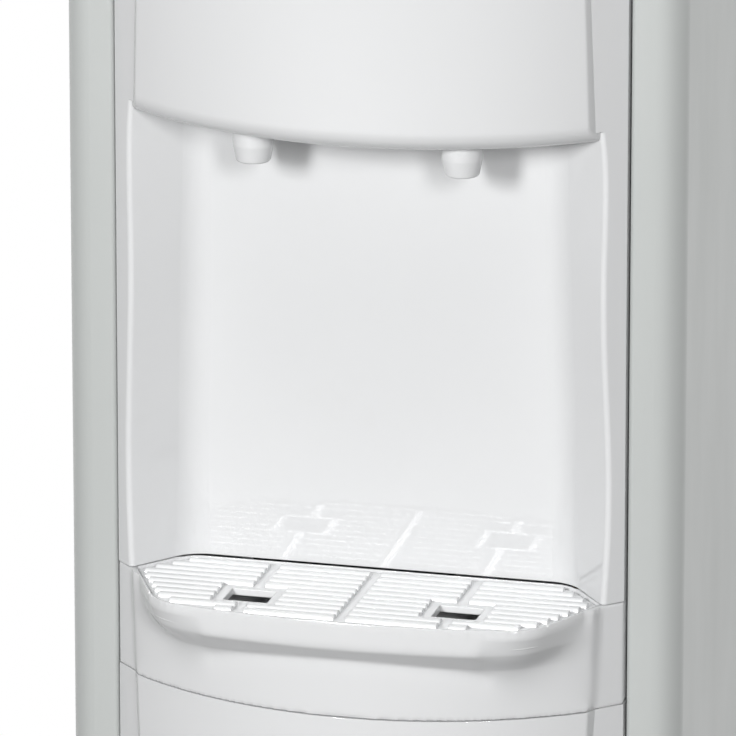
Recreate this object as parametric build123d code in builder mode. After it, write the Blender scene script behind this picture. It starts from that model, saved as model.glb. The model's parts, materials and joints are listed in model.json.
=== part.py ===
from build123d import *
from math import cos, hypot, pi, radians, sin, sqrt, tan
import os

os.makedirs("parts", exist_ok=True)

# Driving dimensions, in millimetres. X runs to the right seen from the front, Y to the back, Z up.
# "Forward" distances are counted from the plane of the side panels' front flanges towards the user.
cabinet_width = 313
panel_depth = 270
overall_depth = 360
overall_height = 966
lip_forward = 68
bulge_forward = 56.4
front_plane = lip_forward - overall_depth / 2
rear_plane = front_plane + panel_depth
side = cabinet_width / 2

# Levels above the floor
base_level = 18
panel_foot = 24
seam_level = 507
shelf_level = 560
hood_level = 795.8
cover_level = 925
seam_gap = 0.6

# Side panels, folded from sheet
sheet = 0.8
flange_corner = 13
flange_inner = 130.2
edge_roll = 2.5
return_depth = 9
rear_flange = 16
screw_x = side - 8.5
screw_levels = (260, 420, 580, 740, 900)

# Front mouldings: 45 degree strips at the sides, a turned bulge between them
wall = 2.5
fascia_half = 129.4
strip_sum = 130.7
strip_nose = 22
strip_back = -14
bulge_radius = 194
bulge_axis = front_plane - bulge_forward + bulge_radius
side_draft = 24
outline_forward = 8
crease_blend = 700
crease_waist = 123.0
waist_level = 610.7
upper_lean = 0.0345
lower_lean = 0.05
knee_level = 460
crease_foot_lean = 0.0075
hood_rounding = 11
bulge_edge = 3
slope_level = 886
slope_angle = 35

# Niche
niche_back = -20
niche_half = 97.7
niche_narrowing = 0.0264
niche_lean = 0.035
niche_corner = 20
rim_rounding = 2.3
rim_rise = 6

# Drip shelf
lip_face = 11.4
lip_under = 24
lip_rim = 1.6
well_clearance = 0.6
well_floor = 531
plate_back = -17.2
plate_back_half = 97.0
plate_waist = (117.5, 7.2)
plate_corner = (94.0, 55.4)
plate_apex = 65.8
front_corner_radius = 24

# Drip plate
plate_top = 560.3
plate_sheet_top = 558.3
plate_sheet = 2.1
rib_pitch = 6.95
rib_width = 4.6
first_rib = -11.3
rib_count = 11
plate_margin = 3.4
channel_width = 5
channel_step = 52
drain_frame = (34, 25)
drain_hole = (22.6, 18.6)
drain_wall = 1.4
drain_skirt = 554.8
drain_forward = 33

# Faucets, stems and buttons
faucet_step = 52.5
faucet_forward = 25
pivot_forward = 3
button_forward = 30
rod_forward = 36
button_travel = 6.0
button_size = (28, 18)
button_clearance = 0.4
lever_arm = rod_forward - pivot_forward
pivot_level = 848.3
spout_tip = 779.3
spout_radius = 10.1
tip_radius = 8.4

# Tanks
tank_centre = 22
cold_radius = 92
cold_floor = 728
cold_top = 880
insulation_radius = 112
hot_centre = (-40, 40)
hot_radius = 50
hot_floor = 520
hot_top = 662
jacket_radius = 62
hose_radius = 5.5
hose_bore = 3.5
hose_bend = 22

# Cover and bottle seat
cover_top = 951
collar_radius = 130
collar_top = 958
well_radius = 117
socket_radius = 33
seat_floor = 866

# Condenser
tube_radius = 2.5
wire_radius = 0.8
condenser_runs = 10
run_pitch = 42
condenser_top = 712
condenser_half = 112
wire_plane = overall_depth / 2 - wire_radius
tube_plane = wire_plane - tube_radius - wire_radius - 0.05
wire_count = 27
wire_pitch = 8


def forward(distance):
    """Y of a point this far in front of the flange plane."""
    return front_plane - distance


def finish(piece, name):
    """Labels a finished piece and writes it under its own name."""
    piece.part.label = name
    export_step(piece.part, f"parts/{name}.step")


def crease_half(level):
    """Half width of the crease between strip and bulge, with its blend at the waist."""
    above = max(level - waist_level, 0)
    below = min(max(waist_level - level, 0), waist_level - knee_level)
    foot = max(knee_level - level, 0)
    straight = crease_waist - upper_lean * above - lower_lean * below - crease_foot_lean * foot
    reach = crease_blend * (upper_lean + lower_lean) / 2
    near = max(0, reach - abs(level - waist_level))
    return straight - (upper_lean + lower_lean) * near**2 / (4 * reach)


def wall_half(level):
    """Half width of the bulge's side wall where it passes the outline's plane."""
    above = max(level - waist_level, 0)
    below = min(max(waist_level - level, 0), waist_level - knee_level)
    foot = max(knee_level - level, 0)
    crease = crease_waist - upper_lean * above - lower_lean * below - crease_foot_lean * foot
    return crease + tan(radians(side_draft)) * (strip_sum - crease - outline_forward)


def strip_block(bottom, top, inset=0, back=strip_back):
    """Block between the side panels with 45 degree bevels and a flat front."""
    half = fascia_half - inset
    bevel = strip_sum - inset * sqrt(2)
    nose = strip_nose - inset
    with BuildPart() as block:
        with BuildSketch(Plane.XY.offset(bottom)):
            with BuildLine():
                Polyline(
                    (half, forward(back)),
                    (half, forward(bevel - half)),
                    (bevel - nose, forward(nose)),
                    (nose - bevel, forward(nose)),
                    (-half, forward(bevel - half)),
                    (-half, forward(back)),
                    close=True,
                )
            make_face()
        extrude(amount=top - bottom)
    return block.part


def bulge_block(bottom, top, inset=0, rounding=0, edge=0):
    """Bulged middle of the front: a turned face between tapering side walls, its long edges rounded."""
    levels = (1000, waist_level, knee_level, -40)
    right = [(wall_half(level) - inset / cos(radians(side_draft)), level) for level in levels]
    left = [(-x, level) for x, level in right]
    with BuildPart() as block:
        with BuildSketch(Plane.XZ.offset(-forward(outline_forward))):
            with BuildLine():
                FilletPolyline(*right, radius=crease_blend)
                FilletPolyline(*left, radius=crease_blend)
                Line(right[0], left[0])
                Line(right[-1], left[-1])
            make_face()
        extrude(amount=60, taper=side_draft)
        with BuildSketch(Plane.XZ.offset(-bulge_axis)) as profile:
            with Locations((0, bottom)):
                Rectangle(bulge_radius - inset, top - bottom, align=(Align.MIN, Align.MIN))
            if rounding:
                outer = profile.vertices().sort_by(Axis.X)[-2:]
                fillet(outer.sort_by(Axis.Y)[0], rounding)
        revolve(axis=Axis((0, bulge_axis, 0), (0, 0, 1)), mode=Mode.INTERSECT)
        if edge:
            front = block.edges().filter_by(lambda e: e.center().Y < forward(12) and abs(e.center().X) > 100)
            fillet(front.filter_by(lambda e: e.bounding_box().size.Z > 8), edge)
    return block.part


def slope_height(distance, below=0):
    """Level of the hood's sloping top at a forward distance, or of a plane that far below it."""
    rise = (bulge_forward - distance) * tan(radians(slope_angle))
    return slope_level + rise - below / cos(radians(slope_angle))


def above_slope(below=0):
    """Everything above the hood's sloping top, or above a plane that far below it."""
    near, far = bulge_forward + 30, -80
    with BuildPart() as cutter:
        with BuildSketch(Plane.YZ):
            with BuildLine():
                Polyline(
                    (forward(near), slope_height(near, below)),
                    (forward(far), slope_height(far, below)),
                    (forward(far), 1200),
                    (forward(near), 1200),
                    close=True,
                )
            make_face()
        extrude(amount=cabinet_width, both=True)
    return cutter.part


def niche_block(bottom, top, grow=0):
    """The niche's hollow, from its back wall out past the strips, or the same grown by a wall."""
    with BuildPart() as block:
        for level in (bottom, 590, waist_level, 632, 700, top):
            back = niche_back + niche_lean * (level - shelf_level)
            half = niche_half - niche_narrowing * (level - shelf_level)
            crease = crease_half(level)
            run_x, run_y = crease - half, strip_sum - crease - back
            length = hypot(run_x, run_y)
            run_x, run_y = run_x / length, run_y / length
            corner_half = half + grow * (run_y - run_x * (1 - run_x) / run_y)
            reach = (60 - back + grow) / run_y
            with BuildSketch(Plane.XY.offset(level)) as section:
                with BuildLine():
                    Polyline(
                        (-corner_half, forward(back - grow)),
                        (corner_half, forward(back - grow)),
                        (corner_half + reach * run_x, forward(60)),
                        (-corner_half - reach * run_x, forward(60)),
                        close=True,
                    )
                make_face()
                fillet(section.vertices().sort_by(Axis.Y)[-2:], niche_corner + grow)
        loft()
    return block.part


def drip_outline(grow=0):
    """Outline of the drip plate seen from above, grown evenly on all sides."""
    with BuildSketch() as outline:
        with BuildLine():
            right = [
                (plate_back_half, forward(plate_back)),
                (plate_waist[0], forward(plate_waist[1])),
                (plate_corner[0], forward(plate_corner[1])),
            ]
            left = [(-x, y) for x, y in right]
            Polyline(*right)
            Polyline(*left)
            Line(right[0], left[0])
            ThreePointArc(right[-1], (0, forward(plate_apex)), left[-1])
        make_face()
        fillet(outline.vertices().sort_by(Axis.Y)[-2:], niche_corner - 2)
        fillet(outline.vertices().sort_by(Axis.Y)[:2], front_corner_radius)
        if grow:
            offset(amount=grow, kind=Kind.INTERSECTION)
    return outline.sketch


def bowl(grow, top, floor):
    """Solid inside the drip well: straight at the rim, then tapering under the lip."""
    knee = shelf_level - seam_gap / 2 - lip_face + (lip_rim + well_clearance - grow) * tan(pi / 8)
    with BuildPart() as block:
        with BuildSketch(Plane.XY.offset(knee)):
            add(drip_outline(grow))
        extrude(amount=top - knee)
        with BuildSketch(Plane.XY.offset(knee)):
            add(drip_outline(grow))
        extrude(amount=-min(lip_under, knee - floor), taper=45)
    return block.part


def tube(points, radii, outer, bore=0):
    """Tube along straight runs joined by tangent arcs."""
    with BuildPart() as pipe:
        with BuildLine() as route:
            FilletPolyline(*points, radius=radii)
        start = Plane(route.line @ 0, z_dir=route.line % 0)
        with BuildSketch(start):
            Circle(outer)
            if bore:
                Circle(bore, mode=Mode.SUBTRACT)
        sweep(path=route.line)
    return pipe.part


def coil_spring(centre_x, centre_y, bottom, top, radius, wire, turns):
    """Open coil of round wire on quarter turn biarcs; prints the least gap between its turns."""
    height = top - bottom - 2 * wire
    climb = height / turns
    slope = climb / (2 * pi * radius)

    def on_coil(turn):
        angle = 2 * pi * turn
        return Vector(
            centre_x + radius * cos(angle),
            centre_y + radius * sin(angle),
            bottom + wire + climb * turn,
        )

    def along_coil(turn):
        angle = 2 * pi * turn
        return Vector(-sin(angle), cos(angle), slope).normalized()

    with BuildPart() as spring:
        with BuildLine() as route:
            for quarter in range(round(turns * 4)):
                first, last = quarter / 4, (quarter + 1) / 4
                start, end = on_coil(first), on_coil(last)
                leave, arrive = along_coil(first), along_coil(last)
                chord = end - start
                across = chord.dot(leave + arrive)
                spread = 2 * (1 - leave.dot(arrive))
                handle = (sqrt(across**2 + spread * chord.dot(chord)) - across) / spread
                near, far = start + leave * handle, end - arrive * handle
                middle = (near + far) * 0.5
                add(Edge.make_tangent_arc(start, leave, middle))
                add(Edge.make_tangent_arc(middle, far - near, end))
        with BuildSketch(Plane(on_coil(0), z_dir=along_coil(0))):
            Circle(wire)
        sweep(path=route.line)
    print(f"coil at x {centre_x}: least gap between turns {climb - 2 * wire:.2f} mm")
    return spring.part


# Cabinet
with BuildPart() as side_panel_right:
    centre = sheet / 2
    with BuildSketch(Plane.XY.offset(panel_foot)):
        with BuildLine():
            FilletPolyline(
                (flange_inner + centre, forward(-return_depth)),
                (flange_inner + centre, forward(-centre)),
                (side - centre, forward(-centre)),
                (side - centre, rear_plane - centre),
                (side - rear_flange, rear_plane - centre),
                radius=[edge_roll, flange_corner, 2],
            )
        trace(line_width=sheet)
    extrude(amount=cover_level - panel_foot)
    with Locations(*[(screw_x, rear_plane, level) for level in screw_levels]):
        Cylinder(2.1, 10, rotation=(90, 0, 0), mode=Mode.SUBTRACT)
finish(side_panel_right, "side_panel_right")

with BuildPart() as side_panel_left:
    mirror(side_panel_right.part, about=Plane.YZ)
finish(side_panel_left, "side_panel_left")

with BuildPart() as base_plate:
    base_half = side - sheet - 0.4
    with BuildSketch(Plane.XZ.offset(-(rear_plane - 3))):
        with BuildLine():
            FilletPolyline(
                (-base_half + 0.75, base_level + 24),
                (-base_half + 0.75, base_level + 0.75),
                (base_half - 0.75, base_level + 0.75),
                (base_half - 0.75, base_level + 24),
                radius=[3, 3],
            )
        trace(line_width=1.5)
    extrude(amount=panel_depth - 16)
finish(base_plate, "base_plate")

with BuildPart() as feet:
    with Locations((0, (front_plane + rear_plane) / 2, 0)):
        with GridLocations(cabinet_width - 62, panel_depth - 60, 2, 2):
            Cone(13, 16, base_level - 3, align=(Align.CENTER, Align.CENTER, Align.MIN))
    with Locations((0, (front_plane + rear_plane) / 2, base_level - 3)):
        with GridLocations(cabinet_width - 62, panel_depth - 60, 2, 2):
            Cylinder(16, 3, align=(Align.CENTER, Align.CENTER, Align.MIN))
finish(feet, "feet")

# Front fascia: strips for its whole height, the hood's bulge above, the niche let into it
ceiling_top = hood_level + 3
niche_bottom = shelf_level + seam_gap / 2
hood_skin = bulge_block(hood_level, 1000, 0, hood_rounding, bulge_edge)
hood_hollow = bulge_block(ceiling_top, 1010, wall, hood_rounding - wall)
strips = strip_block(niche_bottom, cover_level - seam_gap)
strips_deep = strip_block(niche_bottom, ceiling_top, back=niche_back - 2 * wall)
niche_shell = niche_block(niche_bottom - 4, hood_level + 20, wall)
niche_hollow = niche_block(niche_bottom - 6, hood_level + 20)


def under_hood(depth, height):
    """Zones left and right under the rounded lower edge of the hood, where the niche runs higher."""
    with BuildPart() as zone:
        with BuildSketch(Plane.XY.offset(hood_level - 1)):
            with Locations((-110, forward(30)), (110, forward(30))):
                Rectangle(60, 120)
            with Locations((0, bulge_axis)):
                Circle(bulge_radius - depth, mode=Mode.SUBTRACT)
        extrude(amount=height + 1)
    return zone.part


with BuildPart() as front_fascia:
    add(strips)
    add(strip_block(niche_bottom - 1, hood_level, wall, strip_back - 30), mode=Mode.SUBTRACT)
    with BuildPart(mode=Mode.PRIVATE) as niche_walls:
        add(niche_shell)
        add(strips_deep, mode=Mode.INTERSECT)
    add(niche_walls.part)
    with BuildPart(mode=Mode.PRIVATE) as niche_space:
        add(niche_hollow)
        with BuildSketch(Plane.XY.offset(niche_bottom - 10)):
            Rectangle(400, 400)
        extrude(amount=hood_level - niche_bottom + 10, mode=Mode.INTERSECT)
        with BuildPart(mode=Mode.PRIVATE) as corners:
            add(niche_hollow)
            add(under_hood(hood_rounding, rim_rise), mode=Mode.INTERSECT)
        add(corners.part)
    add(niche_space.part, mode=Mode.SUBTRACT)
    tall = front_fascia.edges().filter_by(lambda e: e.bounding_box().size.Z > 200)
    tall = tall.filter_by(lambda e: e.center().Y < front_plane)
    rims = tall.filter_by(lambda e: abs(abs(e.center().X) + front_plane - e.center().Y - strip_sum) < 0.5)
    fillet(rims.filter_by(lambda e: abs(e.center().X) < crease_waist), rim_rounding)
    with BuildPart(mode=Mode.PRIVATE) as hood:
        add(hood_skin)
        add(above_slope(), mode=Mode.SUBTRACT)
    add(hood.part)
    add(above_slope(), mode=Mode.SUBTRACT)
    with BuildPart(mode=Mode.PRIVATE) as hollow:
        add(hood_hollow)
        add(strip_block(ceiling_top, 1010, wall, strip_back - 30))
        add(above_slope(wall), mode=Mode.SUBTRACT)
        with BuildPart(mode=Mode.PRIVATE) as corner_walls:
            add(niche_shell)
            add(under_hood(hood_rounding + wall, rim_rise + wall), mode=Mode.INTERSECT)
        add(corner_walls.part, mode=Mode.SUBTRACT)
    add(hollow.part, mode=Mode.SUBTRACT)
    spout_plane = Plane.XY.offset(hood_level - 1)
    with BuildSketch(spout_plane):
        with Locations((-faucet_step, forward(faucet_forward)), (faucet_step, forward(faucet_forward))):
            Circle(spout_radius + 0.3)
    extrude(amount=6, mode=Mode.SUBTRACT)
    with BuildSketch(Plane.XY.offset(ceiling_top + 20)):
        with Locations((-faucet_step, forward(button_forward)), (faucet_step, forward(button_forward))):
            RectangleRounded(*[size + 2 * button_clearance for size in button_size], 4 + button_clearance)
        with Locations(*[(x, forward(button_forward)) for x in (-12, 0, 12)]):
            Circle(2.6)
    extrude(amount=200, mode=Mode.SUBTRACT)
finish(front_fascia, "front_fascia")

# Drip shelf: the same strips and bulge, a lip round the drip well, and the well's own walls
shelf_bottom = seam_level + seam_gap / 2
shelf_top = shelf_level - seam_gap / 2
lip_grow = well_clearance + lip_rim
with BuildPart() as shelf_panel:
    add(strip_block(shelf_bottom, shelf_top))
    add(bulge_block(shelf_bottom, shelf_top, edge=bulge_edge))
    add(bowl(lip_grow, shelf_top, well_floor - wall))
    with BuildPart(mode=Mode.PRIVATE) as hollow:
        add(strip_block(shelf_bottom - 1, shelf_top - wall, wall, strip_back - 30))
        add(bulge_block(shelf_bottom - 1, shelf_top - wall, wall))
        add(bowl(lip_grow, shelf_top, well_floor - wall), mode=Mode.SUBTRACT)
    add(hollow.part, mode=Mode.SUBTRACT)
    add(bowl(well_clearance, shelf_top + 5, well_floor), mode=Mode.SUBTRACT)
finish(shelf_panel, "shelf_panel")

with BuildPart() as lower_front_panel:
    panel_top = seam_level - seam_gap / 2
    add(strip_block(panel_foot, panel_top))
    add(bulge_block(panel_foot, panel_top, edge=bulge_edge))
    add(strip_block(panel_foot + wall, panel_top + 1, wall, strip_back - 30), mode=Mode.SUBTRACT)
    add(bulge_block(panel_foot + wall, panel_top + 1, wall), mode=Mode.SUBTRACT)
finish(lower_front_panel, "lower_front_panel")

with BuildPart() as drip_tray:
    add(bowl(0, 555.9, well_floor + 0.3))
    add(bowl(-1.8, 560, well_floor + 2.3), mode=Mode.SUBTRACT)
finish(drip_tray, "drip_tray")

drain_places = [(-channel_step - 1, forward(drain_forward)), (channel_step + 1, forward(drain_forward))]
with BuildPart() as drip_plate:
    with BuildSketch(Plane.XY.offset(plate_sheet_top - plate_sheet)):
        add(drip_outline(0))
    extrude(amount=plate_sheet)
    with BuildSketch(Plane.XY.offset(plate_sheet_top - 0.5)):
        for rib in range(rib_count):
            with Locations((0, forward(first_rib + rib * rib_pitch))):
                Rectangle(300, rib_width)
        add(drip_outline(-plate_margin), mode=Mode.INTERSECT)
        with Locations(*[(x, forward(20)) for x in (-channel_step, 0, channel_step)]):
            Rectangle(channel_width, 120, mode=Mode.SUBTRACT)
        with Locations(*drain_places):
            Rectangle(*drain_frame, mode=Mode.SUBTRACT)
    extrude(amount=plate_top - plate_sheet_top + 0.5)
    with BuildSketch(Plane.XY.offset(drain_skirt)):
        with Locations(*drain_places):
            RectangleRounded(drain_hole[0] + 2 * drain_wall, drain_hole[1] + 2 * drain_wall, 2.2)
    extrude(amount=plate_sheet_top - drain_skirt)
    with BuildSketch(Plane.XY.offset(drain_skirt - 1)):
        with Locations(*drain_places):
            RectangleRounded(*drain_hole, 0.8)
    extrude(amount=10, mode=Mode.SUBTRACT)
finish(drip_plate, "drip_plate")

# Top cover with the collar the bottle seat rests on
with BuildPart() as top_cover:
    cover_front = front_plane - 3
    with BuildSketch(Plane.XY.offset(cover_level + 0.3)):
        with Locations((0, (cover_front + rear_plane) / 2)):
            RectangleRounded(cabinet_width, rear_plane - cover_front, flange_corner + 1)
    extrude(amount=cover_top - cover_level - 0.3)
    fillet(top_cover.faces().sort_by(Axis.Z)[-1].edges(), 9)
    offset(amount=-wall, openings=top_cover.faces().sort_by(Axis.Z)[0])
    with BuildSketch(Plane.XY.offset(cover_top - wall)):
        with Locations((0, tank_centre)):
            Circle(collar_radius)
    extrude(amount=collar_top - cover_top + wall)
    fillet(top_cover.faces().sort_by(Axis.Z)[-1].edges(), 2)
    with BuildSketch(Plane.XY.offset(cover_level)):
        with Locations((0, tank_centre)):
            Circle(well_radius + 1)
    extrude(amount=60, mode=Mode.SUBTRACT)
finish(top_cover, "top_cover")

# Bottle seat: rim, cone, socket for the bottle's neck and the spike that opens its cap
with BuildPart() as bottle_seat:
    with BuildSketch(Plane.XZ.offset(-tank_centre)) as seat_profile:
        with BuildLine():
            Polyline(
                (collar_radius - 4, collar_top + 0.3),
                (collar_radius - 4, overall_height),
                (well_radius, overall_height),
                (108, 960),
                (socket_radius - 4, 903),
                (socket_radius - 4, seat_floor + 2.5),
                (7, seat_floor + 2.5),
                (7, 914),
                (2.5, 925),
                (0, 925),
                (0, 916),
                (4, 912),
                (4, seat_floor),
                (socket_radius - 1, seat_floor),
                (socket_radius - 1, 902.1),
                (109.9, collar_top + 0.3),
                close=True,
            )
        make_face()
        fillet(seat_profile.vertices().sort_by_distance((collar_radius - 4, overall_height))[0], 2.5)
        fillet(seat_profile.vertices().sort_by_distance((well_radius, overall_height))[0], 5)
        fillet(seat_profile.vertices().sort_by_distance((socket_radius - 4, 903))[0], 6)
    revolve(axis=Axis((0, tank_centre, 0), (0, 0, 1)))
    with Locations((0, tank_centre, 902)):
        Cylinder(2.2, 20, rotation=(90, 0, 0), mode=Mode.SUBTRACT)
        Cylinder(2.2, 20, rotation=(0, 90, 0), mode=Mode.SUBTRACT)
finish(bottle_seat, "bottle_seat")

# Rear panel, its screws and the switches
screw_places = [(x, level) for x in (-screw_x, screw_x) for level in screw_levels]
bezel_x, bezel_level = 70, 845
bezel_back = rear_plane + 2
rocker_places = {"hot_switch": 44, "cold_switch": 63}
rocker_radius = 9.9
rocker_tilt = 10
knob_x = 92
gland_place = (112, 255)
drain_place = (hot_centre[0], 262)

with BuildPart() as rear_panel:
    with BuildSketch(Plane.XZ.offset(-(rear_plane - sheet))):
        with Locations((0, (235 + cover_level) / 2)):
            Rectangle(304, cover_level - 235)
        with Locations((bezel_x, bezel_level)):
            Rectangle(80, 40, mode=Mode.SUBTRACT)
        with Locations(gland_place):
            Circle(8.2, mode=Mode.SUBTRACT)
        with Locations(drain_place):
            Circle(9, mode=Mode.SUBTRACT)
        with Locations(*screw_places):
            Circle(2.1, mode=Mode.SUBTRACT)
        with Locations((-75, 840)):
            with GridLocations(0, 14, 1, 7):
                SlotOverall(90, 5, mode=Mode.SUBTRACT)
        with Locations((0, 500)):
            with GridLocations(110, 30, 2, 12):
                SlotOverall(80, 6, mode=Mode.SUBTRACT)
    extrude(amount=sheet)
finish(rear_panel, "rear_panel")

with BuildPart() as rear_screws:
    for x, level in screw_places:
        with Locations((x, rear_plane, level)):
            Cylinder(4, 2, rotation=(-90, 0, 0), align=(Align.CENTER, Align.CENTER, Align.MIN))
            Cylinder(1.9, 9, rotation=(90, 0, 0), align=(Align.CENTER, Align.CENTER, Align.MIN))
        with Locations((x, rear_plane + 2, level)):
            Box(5, 1.6, 1, mode=Mode.SUBTRACT)
            Box(1, 1.6, 5, mode=Mode.SUBTRACT)
finish(rear_screws, "rear_screws")

with BuildPart() as switch_bezel:
    with BuildSketch(Plane.XZ.offset(-bezel_back)):
        with Locations((bezel_x, bezel_level)):
            RectangleRounded(90, 50, 5)
    extrude(amount=bezel_back - rear_plane + sheet)
    fillet(switch_bezel.faces().sort_by(Axis.Y)[-1].edges(), 1)
    with BuildSketch(Plane.XZ.offset(-rear_plane)):
        with Locations((bezel_x, bezel_level)):
            Rectangle(78, 38)
    extrude(amount=18)
    with BuildSketch(Plane.XZ.offset(-(rear_plane - 1))):
        with Locations((bezel_x, bezel_level)):
            Rectangle(74, 34)
    extrude(amount=20, mode=Mode.SUBTRACT)
    with BuildSketch(Plane.XZ.offset(-(bezel_back + 1))):
        for x in rocker_places.values():
            with Locations((x, bezel_level)):
                Rectangle(12.8, 2 * rocker_radius + 0.6)
        with Locations((knob_x, bezel_level)):
            Circle(3.06)
    extrude(amount=10, mode=Mode.SUBTRACT)
finish(switch_bezel, "switch_bezel")

for name, x in rocker_places.items():
    with BuildPart() as rocker:
        with BuildSketch(Plane.YZ.offset(x - 6)):
            with Locations((bezel_back - 1.5, bezel_level)):
                Circle(rocker_radius)
            with BuildLine():
                rise = 14 * tan(radians(rocker_tilt))
                Polyline(
                    (bezel_back, bezel_level),
                    (bezel_back + rise, bezel_level + 14),
                    (bezel_back + 20, bezel_level + 14),
                    (bezel_back + 20, bezel_level - 14),
                    (bezel_back + rise, bezel_level - 14),
                    close=True,
                )
            make_face(mode=Mode.SUBTRACT)
        extrude(amount=12)
        fillet(rocker.faces().filter_by(Axis.X).edges().filter_by(GeomType.LINE), 0.6)
    pivot = Axis((x, bezel_back - 1.5, bezel_level), (1, 0, 0))
    tilted = rocker.part.rotate(pivot, -rocker_tilt)
    tilted.label = name
    export_step(tilted, f"parts/{name}.step")

with BuildPart() as thermostat_knob:
    knob_front = bezel_back + 0.4
    with BuildSketch(Plane.XZ.offset(-(knob_front + 11))):
        with Locations((knob_x, bezel_level)):
            Circle(12)
            with PolarLocations(12.4, 16):
                Circle(1.2, mode=Mode.SUBTRACT)
    extrude(amount=11)
    fillet(thermostat_knob.faces().sort_by(Axis.Y)[-1].edges().filter_by(GeomType.CIRCLE), 0.5)
    with Locations((knob_x, knob_front + 11, bezel_level + 5.5)):
        Box(1.6, 1.2, 7, mode=Mode.SUBTRACT)
    with BuildSketch(Plane.XZ.offset(-knob_front)):
        with Locations((knob_x, bezel_level)):
            Circle(3)
    extrude(amount=12)
finish(thermostat_knob, "thermostat_knob")

with BuildPart() as cord_gland:
    with BuildSketch(Plane.XZ.offset(-(rear_plane + 2))):
        with Locations(gland_place):
            Circle(12)
    extrude(amount=2 + sheet)
    fillet(cord_gland.faces().sort_by(Axis.Y)[-1].edges(), 1)
    with BuildSketch(Plane.XZ.offset(-(rear_plane - 1))):
        with Locations(gland_place):
            Circle(8)
    extrude(amount=9)
    with BuildSketch(Plane.XZ.offset(-(rear_plane + 4))):
        with Locations(gland_place):
            Circle(4)
    extrude(amount=20, mode=Mode.SUBTRACT)
finish(cord_gland, "cord_gland")

# Shelf sheet that carries the cold tank
feed_place = (32, 12)
shelf_sheet_level = 714
with BuildPart() as tank_shelf:
    shelf_half = side - sheet - 0.4
    with BuildSketch(Plane.XZ.offset(-140)):
        with BuildLine():
            FilletPolyline(
                (-shelf_half + 0.75, shelf_sheet_level - 18),
                (-shelf_half + 0.75, shelf_sheet_level + 0.75),
                (shelf_half - 0.75, shelf_sheet_level + 0.75),
                (shelf_half - 0.75, shelf_sheet_level - 18),
                radius=[3, 3],
            )
        trace(line_width=1.5)
    extrude(amount=220)
    with BuildSketch(Plane.XY.offset(shelf_sheet_level - 2)):
        with Locations(feed_place):
            Circle(7)
    extrude(amount=6, mode=Mode.SUBTRACT)
finish(tank_shelf, "tank_shelf")

# Cold side
tank_axis = Axis((0, tank_centre, 0), (0, 0, 1))
cold_hose_level = 745
suction_place = (45, 800)
with BuildPart() as cold_tank:
    with Locations((0, tank_centre, cold_floor)):
        Cylinder(cold_radius, cold_top - cold_floor, align=(Align.CENTER, Align.CENTER, Align.MIN))
    with Locations((0, tank_centre, cold_top - 1.2)):
        Cylinder(cold_radius + 4, 1.2, align=(Align.CENTER, Align.CENTER, Align.MIN))
    with Locations((faucet_step, tank_centre - 55, cold_hose_level)):
        Cylinder(3.3, 31, rotation=(90, 0, 0), align=(Align.CENTER, Align.CENTER, Align.MIN))
    with Locations((0, tank_centre, cold_floor + 1.2)):
        Cylinder(
            cold_radius - 1.2, 200, align=(Align.CENTER, Align.CENTER, Align.MIN), mode=Mode.SUBTRACT
        )
    with Locations((faucet_step, tank_centre - 40, cold_hose_level)):
        Cylinder(
            2.2, 60, rotation=(90, 0, 0), align=(Align.CENTER, Align.CENTER, Align.MIN), mode=Mode.SUBTRACT
        )
finish(cold_tank, "cold_tank")

with BuildPart() as tank_lid:
    with Locations((0, tank_centre, cold_top)):
        Cylinder(cold_radius + 4, 5, align=(Align.CENTER, Align.CENTER, Align.MIN))
        Cylinder(socket_radius, 30, mode=Mode.SUBTRACT)
    with Locations((0, tank_centre, cold_top)):
        Cylinder(cold_radius - 1.6, 4, align=(Align.CENTER, Align.CENTER, Align.MAX))
        Cylinder(cold_radius - 4, 4, align=(Align.CENTER, Align.CENTER, Align.MAX), mode=Mode.SUBTRACT)
finish(tank_lid, "tank_lid")

with BuildPart() as seat_gasket:
    with BuildSketch(Plane.XZ.offset(-tank_centre)):
        with Locations((socket_radius - 0.6, cold_top + 5)):
            Rectangle(7, 3.5, align=(Align.MIN, Align.MIN))
        with Locations((socket_radius + 4, cold_top + 8.5)):
            Circle(1.5)
    revolve(axis=tank_axis)
finish(seat_gasket, "seat_gasket")

with BuildPart() as evaporator_wrap:
    with BuildSketch(Plane.XZ.offset(-tank_centre)):
        with Locations((cold_radius + 0.2, 755)):
            Rectangle(1, 76, align=(Align.MIN, Align.MIN))
        for ring in range(10):
            with Locations((cold_radius + 2.8, 759.5 + 7.4 * ring)):
                Circle(2.4)
    revolve(axis=tank_axis)
finish(evaporator_wrap, "evaporator_wrap")

for name, sign in (("insulation_left", -1), ("insulation_right", 1)):
    with BuildPart() as foam:
        with Locations((0, tank_centre, shelf_sheet_level + 1.8)):
            Cylinder(insulation_radius, 168, align=(Align.CENTER, Align.CENTER, Align.MIN))
        with Locations((0, tank_centre, cold_floor - 0.2)):
            Cylinder(98, 200, align=(Align.CENTER, Align.CENTER, Align.MIN), mode=Mode.SUBTRACT)
        with Locations((sign * 0.15, tank_centre, 800)):
            Box(
                300, 300, 400,
                align=(Align.MAX if sign > 0 else Align.MIN, Align.CENTER, Align.CENTER),
                mode=Mode.SUBTRACT,
            )
        if sign > 0:
            with Locations((*feed_place, 720)):
                Cylinder(hose_radius + 0.5, 40, mode=Mode.SUBTRACT)
            with Locations((faucet_step, -80, cold_hose_level)):
                Cylinder(hose_radius + 0.5, 80, rotation=(90, 0, 0), mode=Mode.SUBTRACT)
            with Locations((faucet_step, -77, cold_hose_level + 8)):
                Box(2 * hose_radius + 1, 24, 30, mode=Mode.SUBTRACT)
            with Locations((suction_place[0], 120, suction_place[1])):
                Cylinder(4.5, 80, rotation=(90, 0, 0), mode=Mode.SUBTRACT)
    finish(foam, name)

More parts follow.
